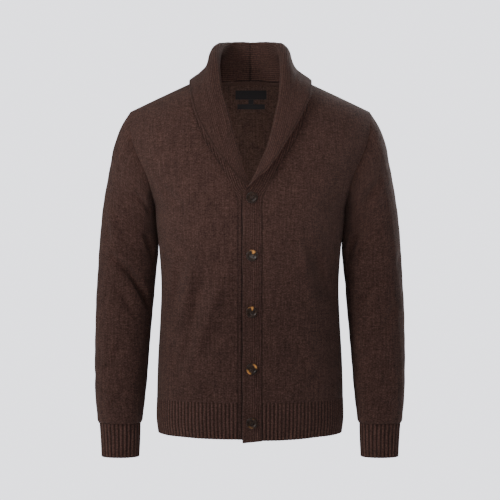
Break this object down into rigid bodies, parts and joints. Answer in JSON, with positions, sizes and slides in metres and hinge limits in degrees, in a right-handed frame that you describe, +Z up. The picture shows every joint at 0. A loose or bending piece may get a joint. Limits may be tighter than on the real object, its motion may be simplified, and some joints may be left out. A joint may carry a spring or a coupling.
{
  "type": "shawl collar cardigan",
  "caption": "Fine-gauge knitted shawl collar cardigan in its worn shape, hollow, buttoned, with ribbed hem, cuffs and band.",
  "frame": {"origin": "between the wearer's shoulders at the height of the base of the neck, where a body or a stand holds the garment up", "axes": "+Z up along the body, the front faces -Y, the wearer's left is +X"},
  "size_m": [0.587, 0.2625, 0.7936],
  "materials": {
    "knit": "fine plain knit of dark brown heathered wool",
    "rib": "two by two rib of the same yarn",
    "collar_rib": "fine one by one rib of the same yarn",
    "tape": "narrow plain tape",
    "label": "charcoal satin weave, blank",
    "horn": "dark horn look with amber streaks, half gloss"
  },
  "bodies": {
    "root": {"front_left": "knit", "front_right": "knit", "back": "knit", "sleeve_left": "knit", "sleeve_right": "knit", "hem_rib_front_left": "rib", "hem_rib_front_right": "rib", "hem_rib_back": "rib", "cuff_left": "rib", "cuff_right": "rib", "band_collar_left": "collar_rib", "band_collar_right": "collar_rib", "neck_tape": "tape", "label_main": "label", "label_size": "label", "label_care": "label", "button_1": "horn", "button_2": "horn", "button_3": "horn", "button_4": "horn", "button_5": "horn"}
  },
  "joints": []
}
